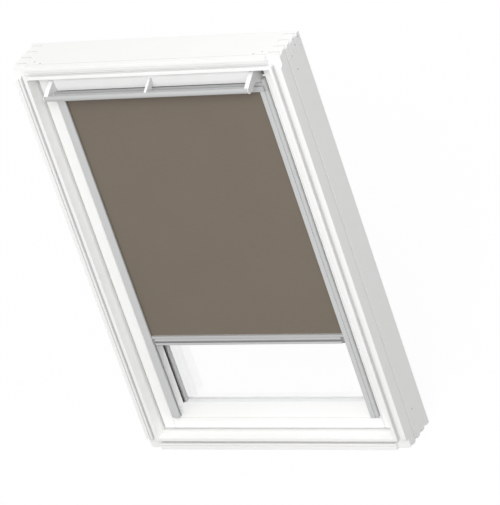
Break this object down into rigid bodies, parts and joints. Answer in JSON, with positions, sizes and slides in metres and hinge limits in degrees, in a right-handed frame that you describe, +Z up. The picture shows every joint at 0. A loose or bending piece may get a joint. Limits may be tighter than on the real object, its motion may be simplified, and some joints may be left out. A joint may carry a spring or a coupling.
{
  "type": "centre-pivot roof window with roller blind",
  "caption": "White centre-pivot roof window with a top control bar, a ventilation flap and a grey-brown roller blind in aluminium side channels.",
  "frame": {"origin": "middle of the sill's underside, half way through the frame's depth", "axes": "+X to the right seen from the room, +Y to the outside, +Z up the slope of the roof"},
  "size_m": [0.78, 0.161, 1.178],
  "materials": {
    "white_painted_wood": "pine covered with smooth, opaque, satin white paint",
    "white_lacquer": "smooth white lacquer",
    "satin_aluminium": "satin anodised, natural silver",
    "galvanised_steel": "zinc-plated sheet, softly reflecting",
    "black_rubber": "matt black sealing profile",
    "grey_plastic": "moulded mid-grey, matt",
    "taupe_fabric": "close plain weave, grey-brown, dimming",
    "clear_glass": "clear float glass"
  },
  "bodies": {
    "frame": {"frame_jamb_left": "white_painted_wood", "frame_jamb_right": "white_painted_wood", "frame_sill": "white_painted_wood", "frame_head": "white_painted_wood", "seal_jamb_left": "black_rubber", "seal_jamb_right": "black_rubber", "seal_bottom": "black_rubber", "seal_top": "black_rubber", "hinge_frame_plate_left": "galvanised_steel", "hinge_frame_plate_right": "galvanised_steel", "friction_washer_left": "grey_plastic", "friction_washer_right": "grey_plastic", "latch_keeper": "galvanised_steel"},
    "sash": {"sash_stile_left": "white_painted_wood", "sash_stile_right": "white_painted_wood", "sash_bottom_rail": "white_painted_wood", "sash_top_rail": "white_painted_wood", "glass_inner_pane": "clear_glass", "glass_outer_pane": "clear_glass", "spacer_left": "satin_aluminium", "spacer_right": "satin_aluminium", "spacer_bottom": "satin_aluminium", "spacer_top": "satin_aluminium", "gasket_left": "black_rubber", "gasket_right": "black_rubber", "gasket_bottom": "black_rubber", "gasket_top": "black_rubber", "bead_left": "satin_aluminium", "bead_right": "satin_aluminium", "bead_bottom": "satin_aluminium", "bead_top": "satin_aluminium", "hinge_sash_plate_left": "galvanised_steel", "hinge_sash_plate_right": "galvanised_steel", "latch_case": "galvanised_steel", "flap_pivot_left": "grey_plastic", "flap_pivot_right": "grey_plastic", "channel_left": "satin_aluminium", "channel_right": "satin_aluminium", "channel_foot_left": "grey_plastic", "channel_foot_right": "grey_plastic", "cassette_shell": "satin_aluminium", "cassette_end_left": "satin_aluminium", "cassette_end_right": "satin_aluminium"},
    "flap": {"control_bar": "satin_aluminium", "flap_panel": "white_lacquer", "bracket_left": "white_lacquer", "bracket_middle": "white_lacquer", "bracket_right": "white_lacquer"},
    "bolt": {"latch_bolt": "galvanised_steel"},
    "blind_bar": {"bottom_bar": "satin_aluminium", "shoe_left": "grey_plastic", "shoe_right": "grey_plastic", "blind_fabric": "taupe_fabric"},
    "roller": {"roller_tube": "satin_aluminium", "fabric_roll": "taupe_fabric", "roller_plug_left": "grey_plastic", "roller_plug_right": "grey_plastic", "spring_cartridge": "grey_plastic"}
  },
  "joints": [
    {"name": "sash_pivot", "type": "hinge", "parent": "frame", "child": "sash", "pos_m": [0, 0.0149, 0.589], "axis": [1, 0, 0], "range_deg": [0, 180]},
    {"name": "flap_hinge", "type": "hinge", "parent": "sash", "child": "flap", "pos_m": [0, -0.0285, 1.099], "axis": [1, 0, 0], "range_deg": [0, 40]},
    {"name": "latch_slide", "type": "slide", "parent": "sash", "child": "bolt", "axis": [0, 0, 1], "range_m": [-0.008, 0]},
    {"name": "blind_slide", "type": "slide", "parent": "sash", "child": "blind_bar", "axis": [0, 0, 1], "range_m": [-0.225, 0.722], "deforming": ["blind_fabric"]},
    {"name": "roller_turn", "type": "hinge", "parent": "sash", "child": "roller", "pos_m": [0, -0.01205, 1.073], "axis": [1, 0, 0], "continuous": true}
  ],
  "couplings": [
    {"joint": "latch_slide", "follows": "flap_hinge", "m_per_rad": -0.011459},
    {"joint": "roller_turn", "follows": "blind_slide", "rad_per_m": 94.34}
  ]
}
